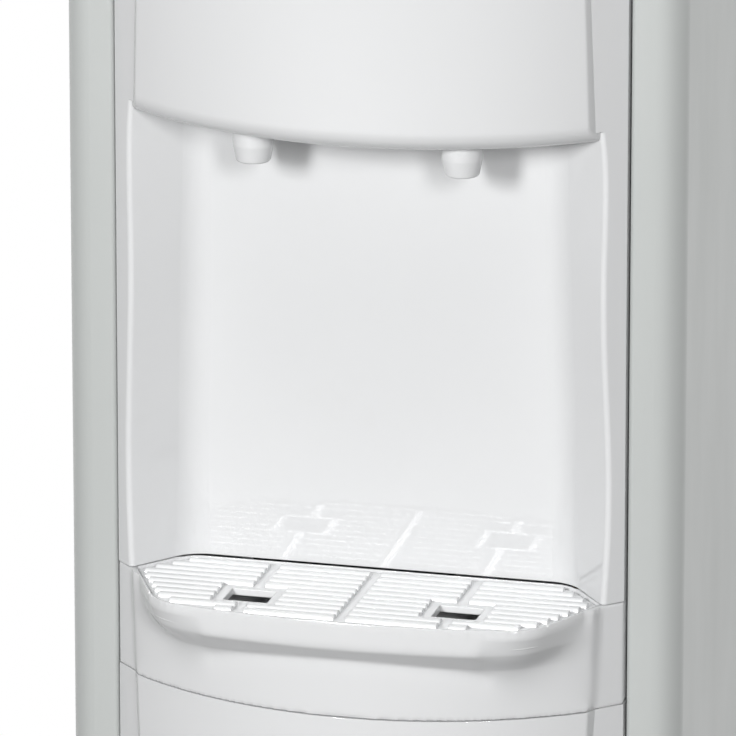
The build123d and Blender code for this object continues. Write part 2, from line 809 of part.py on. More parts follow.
with BuildPart() as baffle_plate:
    with Locations((0, tank_centre, 810)):
        Cylinder(cold_radius - 1.8, 2, align=(Align.CENTER, Align.CENTER, Align.MIN))
        Cylinder(8, 66, align=(Align.CENTER, Align.CENTER, Align.MAX))
        Cylinder(6, 200, mode=Mode.SUBTRACT)
        with PolarLocations(62, 6):
            Cylinder(4, 20, mode=Mode.SUBTRACT)
finish(baffle_plate, "baffle_plate")

# Hot side
with BuildPart() as hot_tank:
    with Locations((*hot_centre, hot_floor)):
        Cylinder(hot_radius, hot_top - hot_floor, align=(Align.CENTER, Align.CENTER, Align.MIN))
    fillet(hot_tank.edges().filter_by(GeomType.CIRCLE), 8)
    offset(amount=-1.5, mode=Mode.SUBTRACT)
finish(hot_tank, "hot_tank")

with BuildPart() as hot_tank_jacket:
    with Locations((*hot_centre, hot_floor + 6)):
        Cylinder(jacket_radius, hot_top - hot_floor - 12, align=(Align.CENTER, Align.CENTER, Align.MIN))
        Cylinder(hot_radius + 0.3, 600, mode=Mode.SUBTRACT)
finish(hot_tank_jacket, "hot_tank_jacket")

with BuildPart() as hot_tank_bracket:
    leg = jacket_radius + 4
    strap_floor = hot_floor - 8.5
    with BuildSketch(Plane.XZ.offset(-(hot_centre[1] + 10))):
        with BuildLine():
            FilletPolyline(
                (hot_centre[0] - leg - 16, shelf_sheet_level - 0.9),
                (hot_centre[0] - leg, shelf_sheet_level - 0.9),
                (hot_centre[0] - leg, strap_floor - 0.75),
                (hot_centre[0] + leg, strap_floor - 0.75),
                (hot_centre[0] + leg, shelf_sheet_level - 0.9),
                (hot_centre[0] + leg + 16, shelf_sheet_level - 0.9),
                radius=[3, 3, 3, 3],
            )
        trace(line_width=1.5)
    extrude(amount=20)
    with Locations((*hot_centre, strap_floor)):
        with GridLocations(16, 0, 2, 1):
            Cylinder(3.2, 10, mode=Mode.SUBTRACT)
finish(hot_tank_bracket, "hot_tank_bracket")

with BuildPart() as heater_element:
    with Locations((*hot_centre, hot_floor)):
        Cylinder(15, 8.3, align=(Align.CENTER, Align.CENTER, Align.MAX))
    with Locations((*hot_centre, hot_floor - 8)):
        with GridLocations(16, 0, 2, 1):
            Cylinder(2, 16, align=(Align.CENTER, Align.CENTER, Align.MAX))
finish(heater_element, "heater_element")

# Hoses and pipes
hose_front = forward(7)
hose_drop = front_plane + 24
cold_x, hot_x = faucet_step, -faucet_step
cold_hose = tube(
    [
        (cold_x, hose_front, 824),
        (cold_x, hose_drop, 824),
        (cold_x, hose_drop, cold_hose_level),
        (cold_x, tank_centre - 79.5, cold_hose_level),
    ],
    hose_bend,
    hose_radius,
    hose_bore,
)
cold_hose.label = "cold_hose"
export_step(cold_hose, "parts/cold_hose.step")

hot_hose = tube(
    [
        (hot_x, hose_front, 824),
        (hot_x, hose_drop, 824),
        (hot_x, hose_drop, 688),
        (hot_x, 10, 688),
        (hot_x, 10, hot_top),
    ],
    [hose_bend, hose_bend, 18],
    hose_radius,
    hose_bore,
)
hot_hose.label = "hot_hose"
export_step(hot_hose, "parts/hot_hose.step")

feed_hose = tube(
    [
        (feed_place[0], feed_place[1], cold_floor),
        (feed_place[0], feed_place[1], 496),
        (-22, feed_place[1], 496),
        (-22, feed_place[1], hot_floor),
    ],
    18,
    hose_radius,
    hose_bore,
)
feed_hose.label = "feed_hose"
export_step(feed_hose, "parts/feed_hose.step")

drain_pipe = tube(
    [
        (hot_centre[0], hot_centre[1] + 28, hot_floor),
        (hot_centre[0], hot_centre[1] + 28, drain_place[1]),
        (hot_centre[0], rear_plane + 2, drain_place[1]),
    ],
    18,
    hose_radius,
    hose_bore,
)
drain_pipe.label = "drain_pipe"
export_step(drain_pipe, "parts/drain_pipe.step")

with BuildPart() as drain_plug:
    with Locations((drain_place[0], rear_plane - 0.6, drain_place[1])):
        Cylinder(8.4, 6.6, rotation=(-90, 0, 0), align=(Align.CENTER, Align.CENTER, Align.MIN))
        Cylinder(
            hose_radius + 0.3, 2.9, rotation=(-90, 0, 0),
            align=(Align.CENTER, Align.CENTER, Align.MIN), mode=Mode.SUBTRACT,
        )
    with Locations((drain_place[0], rear_plane + 2.4, drain_place[1])):
        Cylinder(hose_bore - 0.3, 12, rotation=(90, 0, 0), align=(Align.CENTER, Align.CENTER, Align.MIN))
    with Locations((drain_place[0], rear_plane + 5.5, drain_place[1])):
        Box(3, 9, 14, align=(Align.CENTER, Align.MIN, Align.CENTER))
    fillet(drain_plug.faces().sort_by(Axis.Y)[-1].edges(), 1.2)
finish(drain_plug, "drain_plug")

# Refrigeration
compressor_x, compressor_y = 25, 80
with BuildPart() as compressor:
    with Locations((compressor_x, compressor_y, 37)):
        Cylinder(62, 163, align=(Align.CENTER, Align.CENTER, Align.MIN))
    fillet(compressor.edges().filter_by(GeomType.CIRCLE).sort_by(Axis.Z)[-1], 28)
    fillet(compressor.edges().filter_by(GeomType.CIRCLE).sort_by(Axis.Z)[0], 12)
    with Locations((compressor_x, compressor_y, 154)):
        Cylinder(65, 4)
    with BuildSketch(Plane.XY.offset(34)):
        with Locations((compressor_x, compressor_y)):
            RectangleRounded(170, 120, 16)
            with GridLocations(146, 96, 2, 2):
                Circle(5.3, mode=Mode.SUBTRACT)
    extrude(amount=3.5)
    with Locations((compressor_x, compressor_y, 48)):
        Cylinder(52, 140, align=(Align.CENTER, Align.CENTER, Align.MIN), mode=Mode.SUBTRACT)
finish(compressor, "compressor")

with BuildPart() as compressor_grommets:
    with Locations((compressor_x, compressor_y, base_level + 1.5)):
        with GridLocations(146, 96, 2, 2):
            Cylinder(8.5, 14.2, align=(Align.CENTER, Align.CENTER, Align.MIN))
            Cylinder(5, 22, align=(Align.CENTER, Align.CENTER, Align.MIN))
finish(compressor_grommets, "compressor_grommets")

with BuildPart() as relay_cover:
    with Locations((compressor_x - 62.5, compressor_y, 115)):
        Box(36, 50, 60, align=(Align.MAX, Align.CENTER, Align.CENTER))
    fillet(relay_cover.faces().sort_by(Axis.X)[0].edges(), 4)
    with Locations((compressor_x - 62.5, compressor_y, 115)):
        Box(34, 46, 56, align=(Align.MAX, Align.CENTER, Align.CENTER), mode=Mode.SUBTRACT)
    with Locations((compressor_x - 98.5, compressor_y, 115)):
        with GridLocations(0, 44, 1, 2):
            Cylinder(2.2, 3, rotation=(0, 90, 0), mode=Mode.SUBTRACT)
finish(relay_cover, "relay_cover")

drier_x, drier_y = -80, 124
with BuildPart() as filter_drier:
    with BuildSketch(Plane.XZ.offset(-drier_y)):
        with BuildLine():
            Polyline(
                (drier_x, 48), (drier_x + 2, 48), (drier_x + 2.5, 58), (drier_x + 9, 68),
                (drier_x + 9, 150), (drier_x + 3, 160), (drier_x + 3, 168), (drier_x, 168),
                close=True,
            )
        make_face()
    revolve(axis=Axis((drier_x, drier_y, 0), (0, 0, 1)))
finish(filter_drier, "filter_drier")

riser_x = condenser_half + 16
condenser_route = [
    (compressor_x + 62.5, compressor_y, 110),
    (riser_x, compressor_y, 110),
    (riser_x, tube_plane, 110),
    (riser_x, tube_plane, condenser_top),
]
for run in range(condenser_runs + 1):
    level = condenser_top - run * run_pitch
    end = condenser_half if run % 2 else -condenser_half
    condenser_route.append((end, tube_plane, level))
    if run < condenser_runs:
        condenser_route.append((end, tube_plane, level - run_pitch))
condenser_route += [
    (-condenser_half, tube_plane, 200),
    (-condenser_half, drier_y, 200),
    (drier_x, drier_y, 200),
    (drier_x, drier_y, 168.3),
]
condenser_tube = tube(condenser_route, 14, tube_radius, tube_radius - 0.7)
condenser_tube.label = "condenser_tube"
export_step(condenser_tube, "parts/condenser_tube.step")

wire_bottom = condenser_top - condenser_runs * run_pitch - 12
wire_top = condenser_top + 12
with BuildPart() as condenser_wires:
    with Locations((0, wire_plane, wire_bottom)):
        with GridLocations(wire_pitch, 0, wire_count, 1):
            Cylinder(wire_radius, wire_top - wire_bottom, align=(Align.CENTER, Align.CENTER, Align.MIN))
    for level in (condenser_top - 21, condenser_top - 189, condenser_top - 399):
        with Locations((0, wire_plane, level)):
            Box(2 * condenser_half + 10, 2 * wire_radius, 8)
        for sign in (-1, 1):
            with BuildSketch(Plane.XY.offset(level - 4)):
                with BuildLine():
                    Polyline(
                        (sign * (condenser_half + 4.4), wire_plane),
                        (sign * (condenser_half + 4.4), rear_plane - sheet + 0.6),
                        (sign * (condenser_half - 9), rear_plane - sheet + 0.6),
                    )
                trace(line_width=1.2)
            extrude(amount=8)
finish(condenser_wires, "condenser_wires")

suction_line = tube(
    [
        (suction_place[0], 110, suction_place[1]),
        (suction_place[0], 148, suction_place[1]),
        (suction_place[0], 148, 222),
        (suction_place[0], compressor_y, 222),
        (suction_place[0], compressor_y, 200.2),
    ],
    10,
    4,
    3.2,
)
suction_line.label = "suction_line"
export_step(suction_line, "parts/suction_line.step")

# Faucets
faucet_y = forward(faucet_forward)
pivot_y = forward(pivot_forward)
rod_y = forward(rod_forward)
for name, x in (("cold", faucet_step), ("hot", -faucet_step)):
    with BuildPart() as faucet_body:
        with BuildSketch(Plane.XY.offset(ceiling_top)):
            with Locations((x, forward(faucet_forward - 2))):
                RectangleRounded(28, 22, 4)
        extrude(amount=3)
        with Locations((x, faucet_y, ceiling_top)):
            Cylinder(12, 832 - ceiling_top, align=(Align.CENTER, Align.CENTER, Align.MIN))
        with Locations((x, faucet_y + 9, 824)):
            Cylinder(3.3, 16, rotation=(-90, 0, 0), align=(Align.CENTER, Align.CENTER, Align.MIN))
        with Locations((x, faucet_y, 818)):
            Cylinder(8, 30, align=(Align.CENTER, Align.CENTER, Align.MAX), mode=Mode.SUBTRACT)
            Cylinder(4.5, 30, mode=Mode.SUBTRACT)
        with Locations((x, faucet_y, 820.5)):
            Cylinder(8, 30, align=(Align.CENTER, Align.CENTER, Align.MIN), mode=Mode.SUBTRACT)
        with Locations((x, faucet_y, 824)):
            Cylinder(
                2.2, 60, rotation=(-90, 0, 0),
                align=(Align.CENTER, Align.CENTER, Align.MIN), mode=Mode.SUBTRACT,
            )
    finish(faucet_body, f"{name}_faucet_body")

    with BuildPart() as spout:
        with BuildSketch(Plane.XZ.offset(-faucet_y)) as spout_profile:
            with BuildLine():
                Polyline(
                    (x + 4.5, ceiling_top),
                    (x + spout_radius, ceiling_top),
                    (x + spout_radius, 788),
                    (x + tip_radius, spout_tip),
                    (x + 4.5, spout_tip),
                    close=True,
                )
            make_face()
            fillet(spout_profile.vertices().sort_by_distance((x + spout_radius, 788))[0], 6)
            fillet(spout_profile.vertices().sort_by_distance((x + tip_radius, spout_tip))[0], 1.5)
        revolve(axis=Axis((x, faucet_y, 0), (0, 0, 1)))
    finish(spout, f"{name}_spout")

    with BuildPart() as bonnet:
        with Locations((x, faucet_y, 832)):
            Cylinder(12, 4, align=(Align.CENTER, Align.CENTER, Align.MIN))
            Cylinder(7.9, 3, align=(Align.CENTER, Align.CENTER, Align.MAX))
            Cylinder(3.05, 30, mode=Mode.SUBTRACT)
        for ear in (x - 6.9, x + 6.9):
            with BuildSketch(Plane.YZ.offset(ear - 1.5)) as ear_profile:
                with BuildLine():
                    Polyline(
                        (forward(30), 835.5),
                        (forward(30), 838),
                        (pivot_y - 4, 853),
                        (pivot_y + 4.5, 853),
                        (pivot_y + 4.5, 844),
                        (forward(17), 835.5),
                        close=True,
                    )
                make_face()
                fillet(ear_profile.vertices().group_by(Axis.Y)[-1], 3)
                with Locations((pivot_y, pivot_level)):
                    Circle(2.02, mode=Mode.SUBTRACT)
            extrude(amount=3)
    finish(bonnet, f"{name}_bonnet")

    with BuildPart() as stem:
        with Locations((x, faucet_y, 812)):
            Cylinder(3, 33, align=(Align.CENTER, Align.CENTER, Align.MIN))
        with Locations((x, faucet_y, 845)):
            Cylinder(4.5, 1.5, align=(Align.CENTER, Align.CENTER, Align.MAX))
        with Locations((x, faucet_y, 813.6)):
            Cylinder(6.5, 4, align=(Align.CENTER, Align.CENTER, Align.MIN))
    finish(stem, f"{name}_stem")

    valve_spring = coil_spring(x, faucet_y, ceiling_top, 813.3, 5.4, 0.5, 5)
    valve_spring.label = f"{name}_valve_spring"
    export_step(valve_spring, f"parts/{name}_valve_spring.step")

    with BuildPart() as lever:
        with BuildSketch(Plane.YZ.offset(x - 5)):
            with BuildLine():
                Polyline(
                    (forward(-2), pivot_level),
                    (forward(39), pivot_level),
                    (forward(39), pivot_level + 4),
                    (forward(-2), pivot_level + 4),
                    close=True,
                )
            make_face()
            with Locations((pivot_y, pivot_level)):
                Circle(4.5)
            with Locations((faucet_y, pivot_level)):
                Circle(3)
            with Locations((pivot_y, pivot_level)):
                Circle(2.05, mode=Mode.SUBTRACT)
        extrude(amount=10)
    finish(lever, f"{name}_lever")

    with BuildPart() as button:
        with BuildSketch(Plane.XY.offset(870)):
            with Locations((x, forward(button_forward))):
                RectangleRounded(*button_size, 4)
        extrude(amount=80)
        add(above_slope(-3), mode=Mode.SUBTRACT)
        fillet(button.faces().sort_by(Axis.Z)[-1].edges(), 1)
        with BuildPart(mode=Mode.PRIVATE) as flange:
            with BuildSketch(Plane.XY.offset(870)):
                with Locations((x, forward(button_forward))):
                    RectangleRounded(button_size[0] + 3, button_size[1] + 3, 4.5)
            extrude(amount=80)
            add(above_slope(wall + 0.4), mode=Mode.SUBTRACT)
        add(flange.part)
        with BuildPart(mode=Mode.PRIVATE) as below:
            skirt_foot = slope_height(button_forward, wall + 0.4) - 11
            with Locations((x, forward(button_forward), 0)):
                Box(60, 60, skirt_foot, align=(Align.CENTER, Align.CENTER, Align.MIN))
        add(below.part, mode=Mode.SUBTRACT)
        with Locations((x, rod_y, 852.6)):
            Cylinder(3, 42, align=(Align.CENTER, Align.CENTER, Align.MIN))
        fillet(button.faces().sort_by(Axis.Z)[0].edges(), 2.9)
        if name == "hot":
            lock_level = slope_height(button_forward, -3)
            lock_plane = Plane(
                origin=(x, forward(button_forward), lock_level),
                x_dir=(1, 0, 0),
                z_dir=(0, -sin(radians(slope_angle)), cos(radians(slope_angle))),
            )
            with BuildSketch(lock_plane):
                RectangleRounded(14, 7.6, 2.2)
            extrude(amount=-2, mode=Mode.SUBTRACT)
    finish(button, f"{name}_button")

with BuildPart() as child_lock:
    with BuildSketch(lock_plane.offset(-1.7)):
        with Locations((-2, 0)):
            RectangleRounded(9.2, 6.8, 1.8)
    extrude(amount=2.6)
    with BuildSketch(lock_plane.offset(0.8)):
        with Locations((-2, 0)):
            with GridLocations(2.2, 0, 3, 1):
                Rectangle(1, 5.2)
    extrude(amount=0.7)
finish(child_lock, "child_lock")

with BuildPart() as lever_pins:
    with Locations((-faucet_step, pivot_y, pivot_level), (faucet_step, pivot_y, pivot_level)):
        Cylinder(2, 18.4, rotation=(0, 90, 0))
finish(lever_pins, "lever_pins")

with BuildPart() as button_guide:
    with BuildSketch(Plane.XY.offset(866)):
        with Locations((0, forward(21))):
            Rectangle(160, 26)
        with Locations((-faucet_step, forward(30)), (faucet_step, forward(30))):
            Rectangle(16, 22)
        with Locations((-faucet_step, rod_y), (faucet_step, rod_y)):
            Circle(3.06, mode=Mode.SUBTRACT)
    extrude(amount=2)
    for sign in (-1, 1):
        with Locations((sign * 79, forward(16), ceiling_top)):
            Box(2, 16, 868 - ceiling_top, align=(Align.CENTER, Align.CENTER, Align.MIN))
        with Locations((sign * 84, forward(14), ceiling_top)):
            Box(12, 12, 2, align=(Align.CENTER, Align.CENTER, Align.MIN))
finish(button_guide, "button_guide")

with BuildPart() as indicator_lenses:
    with BuildSketch(Plane.XY.offset(898)):
        with Locations(*[(x, forward(button_forward)) for x in (-12, 0, 12)]):
            Circle(2.4)
    extrude(amount=40)
    add(above_slope(-0.8), mode=Mode.SUBTRACT)
finish(indicator_lenses, "indicator_lenses")
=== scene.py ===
import json
import math

import bmesh
import bpy
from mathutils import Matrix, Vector


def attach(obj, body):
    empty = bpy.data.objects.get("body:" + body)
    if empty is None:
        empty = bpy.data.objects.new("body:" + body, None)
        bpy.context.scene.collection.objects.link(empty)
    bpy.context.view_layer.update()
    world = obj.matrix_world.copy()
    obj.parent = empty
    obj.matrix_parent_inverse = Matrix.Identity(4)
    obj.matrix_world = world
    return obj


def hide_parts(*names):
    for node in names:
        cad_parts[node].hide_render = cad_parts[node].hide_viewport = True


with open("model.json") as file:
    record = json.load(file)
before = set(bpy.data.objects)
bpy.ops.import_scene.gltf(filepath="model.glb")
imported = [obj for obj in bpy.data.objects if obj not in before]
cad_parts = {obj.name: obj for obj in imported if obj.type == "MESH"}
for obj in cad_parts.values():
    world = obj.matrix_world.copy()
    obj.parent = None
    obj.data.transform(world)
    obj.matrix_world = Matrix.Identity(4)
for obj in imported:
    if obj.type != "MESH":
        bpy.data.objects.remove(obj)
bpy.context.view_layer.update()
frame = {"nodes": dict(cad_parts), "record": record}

nodes = frame["nodes"]
print("model loaded:", len(nodes), "nodes")

bevelSamples = 6
glowDepth = 0.004
mergeDistance = 0.000002

# Where a noise field, which rarely leaves its middle, is stretched to its full range
middle = (0.35, 0.65)
middleWide = (0.3, 0.7)
worn = (0.62, 0.78)


def newMaterial(name):
    material = bpy.data.materials.new(name)
    material.use_nodes = True
    tree = material.node_tree
    shader = next(n for n in tree.nodes if n.type == "BSDF_PRINCIPLED")
    place = tree.nodes.new("ShaderNodeTexCoord")
    return material, tree, shader, place.outputs["Object"]


def noiseField(tree, vector, scale, detail=3.0, rough=0.55, stretch=None):
    if stretch:
        mapping = tree.nodes.new("ShaderNodeMapping")
        mapping.inputs["Scale"].default_value = stretch
        tree.links.new(vector, mapping.inputs["Vector"])
        vector = mapping.outputs["Vector"]
    noise = tree.nodes.new("ShaderNodeTexNoise")
    noise.inputs["Scale"].default_value = scale
    noise.inputs["Detail"].default_value = detail
    noise.inputs["Roughness"].default_value = rough
    tree.links.new(vector, noise.inputs["Vector"])
    return noise.outputs["Fac"]


def spread(tree, value, source, target=(0, 1)):
    remap = tree.nodes.new("ShaderNodeMapRange")
    remap.inputs["From Min"].default_value, remap.inputs["From Max"].default_value = source
    remap.inputs["To Min"].default_value, remap.inputs["To Max"].default_value = target
    tree.links.new(value, remap.inputs["Value"])
    return remap.outputs["Result"]


def blendColour(tree, value, first, second):
    mix = tree.nodes.new("ShaderNodeMix")
    mix.data_type = "RGBA"
    tree.links.new(value, mix.inputs["Factor"])
    for socket, colour in ((mix.inputs[6], first), (mix.inputs[7], second)):
        if isinstance(colour, bpy.types.NodeSocket):
            tree.links.new(colour, socket)
        else:
            socket.default_value = (*colour, 1)
    return mix.outputs[2]


def bumpChain(tree, shader, layers, edge=0.0):
    normal = None
    if edge:
        bevel = tree.nodes.new("ShaderNodeBevel")  # rounds the light on sharp edges
        bevel.samples = bevelSamples
        bevel.inputs["Radius"].default_value = edge
        normal = bevel.outputs["Normal"]
    for height, distance in layers:
        bump = tree.nodes.new("ShaderNodeBump")
        bump.inputs["Distance"].default_value = distance
        bump.inputs["Strength"].default_value = 1.0
        tree.links.new(height, bump.inputs["Height"])
        if normal:
            tree.links.new(normal, bump.inputs["Normal"])
        normal = bump.outputs["Normal"]
    tree.links.new(normal, shader.inputs["Normal"])


def mouldedPlastic(name, look):
    material, tree, shader, place = newMaterial(name)
    cloud = noiseField(tree, place, look["cloudScale"], detail=2.0)
    speck = noiseField(tree, place, look["grainScale"], detail=2.0)
    rub = noiseField(tree, place, look["rubScale"], detail=6.0, rough=0.65)
    body = blendColour(tree, spread(tree, cloud, middle), look["colour"], look["shade"])
    dust = spread(tree, rub, worn, (0, look["dust"]))
    tree.links.new(blendColour(tree, dust, body, look["dustColour"]), shader.inputs["Base Color"])
    tree.links.new(spread(tree, rub, (0.3, 0.75), look["rough"]), shader.inputs["Roughness"])
    bumpChain(tree, shader, [(cloud, look["wave"]), (speck, look["grain"])], look.get("edge", 0.0))
    shader.inputs["IOR"].default_value = look["ior"]
    if "coat" in look:
        weight, rough = look["coat"]
        shader.inputs["Coat Weight"].default_value = weight
        shader.inputs["Coat Roughness"].default_value = rough
    return material


def sheetPaint(name, look):
    material, tree, shader, place = newMaterial(name)
    cloud = noiseField(tree, place, look["cloudScale"], detail=3.0)
    peel = noiseField(tree, place, look["peelScale"], detail=1.5)
    smear = noiseField(
        tree, place, look["smearScale"], detail=5.0, rough=0.6, stretch=look["smearStretch"]
    )
    body = blendColour(tree, spread(tree, cloud, middle), look["colour"], look["shade"])
    tree.links.new(body, shader.inputs["Base Color"])
    tree.links.new(spread(tree, smear, middleWide, look["rough"]), shader.inputs["Roughness"])
    bumpChain(tree, shader, [(cloud, look["wave"]), (peel, look["peel"])], look.get("edge", 0.0))
    return material


def bareMetal(name, look):
    material, tree, shader, place = newMaterial(name)
    shader.inputs["Metallic"].default_value = 1.0
    brush = noiseField(
        tree, place, look["brushScale"], detail=4.0, rough=0.6, stretch=look["stretch"]
    )
    stain = noiseField(tree, place, look["stainScale"], detail=5.0, rough=0.6)
    body = blendColour(tree, spread(tree, stain, (0.38, 0.68)), look["colour"], look["tarnish"])
    tree.links.new(body, shader.inputs["Base Color"])
    tree.links.new(spread(tree, brush, (0.25, 0.75), look["rough"]), shader.inputs["Roughness"])
    bumpChain(tree, shader, [(brush, look["brush"])])
    return material


def spangledZinc(name, look):
    material, tree, shader, place = newMaterial(name)
    shader.inputs["Metallic"].default_value = look["metallic"]
    flakes = tree.nodes.new("ShaderNodeTexVoronoi")
    flakes.inputs["Scale"].default_value = look["flakeScale"]
    tree.links.new(place, flakes.inputs["Vector"])
    grey = tree.nodes.new("ShaderNodeSeparateColor")
    tree.links.new(flakes.outputs["Color"], grey.inputs["Color"])
    stain = noiseField(tree, place, look["stainScale"], detail=6.0, rough=0.6)
    body = blendColour(tree, grey.outputs["Red"], look["colour"], look["flake"])
    patches = spread(tree, stain, (0.5, 0.75), (0, look["stain"]))
    tree.links.new(blendColour(tree, patches, body, look["tarnish"]), shader.inputs["Base Color"])
    gloss = spread(tree, grey.outputs["Green"], (0, 1), look["rough"])
    tree.links.new(gloss, shader.inputs["Roughness"])
    bumpChain(tree, shader, [(stain, look["wave"])])
    return material


def softSkin(name, look):
    material, tree, shader, place = newMaterial(name)
    cloud = noiseField(tree, place, look["cloudScale"], detail=4.0)
    pores = noiseField(tree, place, look["poreScale"], detail=3.0, rough=0.7)
    body = blendColour(tree, spread(tree, cloud, middle), look["colour"], look["shade"])
    tree.links.new(body, shader.inputs["Base Color"])
    tree.links.new(spread(tree, pores, middleWide, look["rough"]), shader.inputs["Roughness"])
    bumpChain(tree, shader, [(pores, look["pore"])])
    shader.inputs["Subsurface Weight"].default_value = look.get("glow", 0.0)
    shader.inputs["Subsurface Scale"].default_value = glowDepth
    shader.inputs["Transmission Weight"].default_value = look.get("clear", 0.0)
    return material


plasticLooks = {
    # Front plastic: white plastic given a darker colour than its own, partly painted shade that
    # darkens the niche walls, with the lamps raised to match
    "front_plastic": {
        "colour": (0.70, 0.705, 0.71), "shade": (0.68, 0.686, 0.692),
        "dustColour": (0.60, 0.59, 0.57), "dust": 0.10,
        "cloudScale": 5, "grainScale": 900, "rubScale": 24, "wave": 0.0002, "grain": 0.000002,
        "rough": (0.015, 0.045), "ior": 1.5, "edge": 0.0006,
    },
    # Plate plastic: the same white plastic as the front given a lighter colour, painted light for
    # the plate's lit top
    "plate_plastic": {
        "colour": (0.80, 0.805, 0.81), "shade": (0.78, 0.788, 0.795),
        "dustColour": (0.7, 0.7, 0.68), "dust": 0.10,
        "cloudScale": 12, "grainScale": 1400, "rubScale": 40, "wave": 0.0002, "grain": 0.000006,
        "rough": (0.045, 0.085), "ior": 1.5, "edge": 0.0009,
    },
    "dark_plastic": {
        "colour": (0.022, 0.022, 0.024), "shade": (0.034, 0.034, 0.036),
        "dustColour": (0.16, 0.15, 0.14), "dust": 0.35,
        "cloudScale": 20, "grainScale": 2200, "rubScale": 60, "wave": 0.0001, "grain": 0.00005,
        "rough": (0.38, 0.62), "ior": 1.5,
    },
    "red_plastic": {
        "colour": (0.50, 0.018, 0.014), "shade": (0.42, 0.013, 0.011),
        "dustColour": (0.55, 0.2, 0.17), "dust": 0.15,
        "cloudScale": 30, "grainScale": 1800, "rubScale": 70, "wave": 0.0001, "grain": 0.00001,
        "rough": (0.14, 0.30), "ior": 1.5,
    },
    "blue_plastic": {
        "colour": (0.016, 0.075, 0.38), "shade": (0.012, 0.06, 0.32),
        "dustColour": (0.2, 0.26, 0.45), "dust": 0.15,
        "cloudScale": 30, "grainScale": 1800, "rubScale": 70, "wave": 0.0001, "grain": 0.00001,
        "rough": (0.14, 0.30), "ior": 1.5,
    },
    "nylon": {
        "colour": (0.74, 0.72, 0.62), "shade": (0.68, 0.66, 0.56),
        "dustColour": (0.5, 0.47, 0.38), "dust": 0.2,
        "cloudScale": 25, "grainScale": 1500, "rubScale": 60, "wave": 0.0001, "grain": 0.00003,
        "rough": (0.35, 0.55), "ior": 1.53,
    },
    "lens_plastic": {
        "colour": (0.55, 0.20, 0.03), "shade": (0.48, 0.16, 0.025),
        "dustColour": (0.6, 0.4, 0.2), "dust": 0.1,
        "cloudScale": 80, "grainScale": 2500, "rubScale": 120, "wave": 0.0001, "grain": 0.00001,
        "rough": (0.08, 0.18), "ior": 1.49, "coat": (0.5, 0.04),
    },
}
paintLooks = {
    "panel_paint": {
        "colour": (0.475, 0.491, 0.482), "shade": (0.461, 0.478, 0.468),
        "cloudScale": 3.2, "wave": 0.0006, "peelScale": 520, "peel": 0.00002,
        "smearScale": 26, "smearStretch": (1, 1, 0.25),
        "rough": (0.30, 0.42), "edge": 0.0006,
    },
    "black_paint": {
        "colour": (0.012, 0.012, 0.013), "shade": (0.028, 0.027, 0.026),
        "cloudScale": 3.2, "wave": 0.0002, "peelScale": 700, "peel": 0.00004,
        "smearScale": 26, "smearStretch": (1, 1, 0.25),
        "rough": (0.22, 0.45),
    },
}
metalLooks = {
    "steel": {
        "colour": (0.56, 0.56, 0.57), "tarnish": (0.42, 0.41, 0.39),
        "brushScale": 60, "stretch": (1, 1, 12), "stainScale": 18,
        "brush": 0.00003, "rough": (0.22, 0.42),
    },
    "copper": {
        "colour": (0.66, 0.27, 0.13), "tarnish": (0.30, 0.13, 0.075),
        "brushScale": 240, "stretch": (1, 1, 1), "stainScale": 30,
        "brush": 0.00002, "rough": (0.20, 0.45),
    },
}
zincLook = {
    "colour": (0.50, 0.51, 0.53), "flake": (0.62, 0.63, 0.66), "tarnish": (0.40, 0.40, 0.40),
    "flakeScale": 95, "stainScale": 14, "stain": 0.6,
    "metallic": 0.75, "wave": 0.0002, "rough": (0.28, 0.48),
}
skinLooks = {
    "foam": {
        "colour": (0.78, 0.72, 0.52), "shade": (0.70, 0.62, 0.40),
        "cloudScale": 14, "poreScale": 420, "pore": 0.0006, "rough": (0.8, 0.95),
    },
    "wrap_foam": {
        "colour": (0.035, 0.035, 0.037), "shade": (0.05, 0.05, 0.052),
        "cloudScale": 16, "poreScale": 600, "pore": 0.0005, "rough": (0.75, 0.95),
    },
    "silicone": {
        "colour": (0.74, 0.76, 0.76), "shade": (0.68, 0.70, 0.69),
        "cloudScale": 18, "poreScale": 300, "pore": 0.00003, "rough": (0.30, 0.45),
        "glow": 0.25, "clear": 0.15,
    },
    "rubber": {
        "colour": (0.018, 0.018, 0.018), "shade": (0.032, 0.031, 0.03),
        "cloudScale": 30, "poreScale": 800, "pore": 0.00008, "rough": (0.6, 0.85),
    },
}

materials = {}
for slotName, look in plasticLooks.items():
    materials[slotName] = mouldedPlastic(slotName, look)
for slotName, look in paintLooks.items():
    materials[slotName] = sheetPaint(slotName, look)
for slotName, look in metalLooks.items():
    materials[slotName] = bareMetal(slotName, look)
materials["zinc"] = spangledZinc("zinc", zincLook)
for slotName, look in skinLooks.items():
    materials[slotName] = softSkin(slotName, look)
print("materials made:", len(materials))

# Every carried-over node takes the finish of its slot
for subpart in frame["record"]["subparts"]:
    name, slotName = subpart["node"], subpart["material_slot"]
    for holder in nodes[name].material_slots:
        holder.material = materials[slotName]
print("finishes given to the packed nodes")


def linkPiece(name, mesh):
    piece = bpy.data.objects.new(name, mesh)
    bpy.context.scene.collection.objects.link(piece)
    return piece


def freezeModifiers(piece):
    graph = bpy.context.evaluated_depsgraph_get()
    result = bpy.data.meshes.new_from_object(piece.evaluated_get(graph))
    piece.modifiers.clear()
    piece.data = result


def mergedCopy(nodeName, pieceName):
    mesh = nodes[nodeName].data.copy()
    if "custom_normal" in mesh.attributes:
        mesh.attributes.remove(mesh.attributes["custom_normal"])
    shape = bmesh.new()
    shape.from_mesh(mesh)
    bmesh.ops.remove_doubles(shape, verts=shape.verts, dist=mergeDistance)
    shape.to_mesh(mesh)
    shape.free()
    return linkPiece(pieceName, mesh)


def smoothShade(piece, angle):
    piece.data.shade_smooth()
    piece.data.set_sharp_from_angle(angle=math.radians(angle))


def finishPiece(piece, body, slotName, *replaced):
    piece.data.materials.clear()
    piece.data.materials.append(materials[slotName])
    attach(piece, body)
    if replaced:
        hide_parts(*replaced)


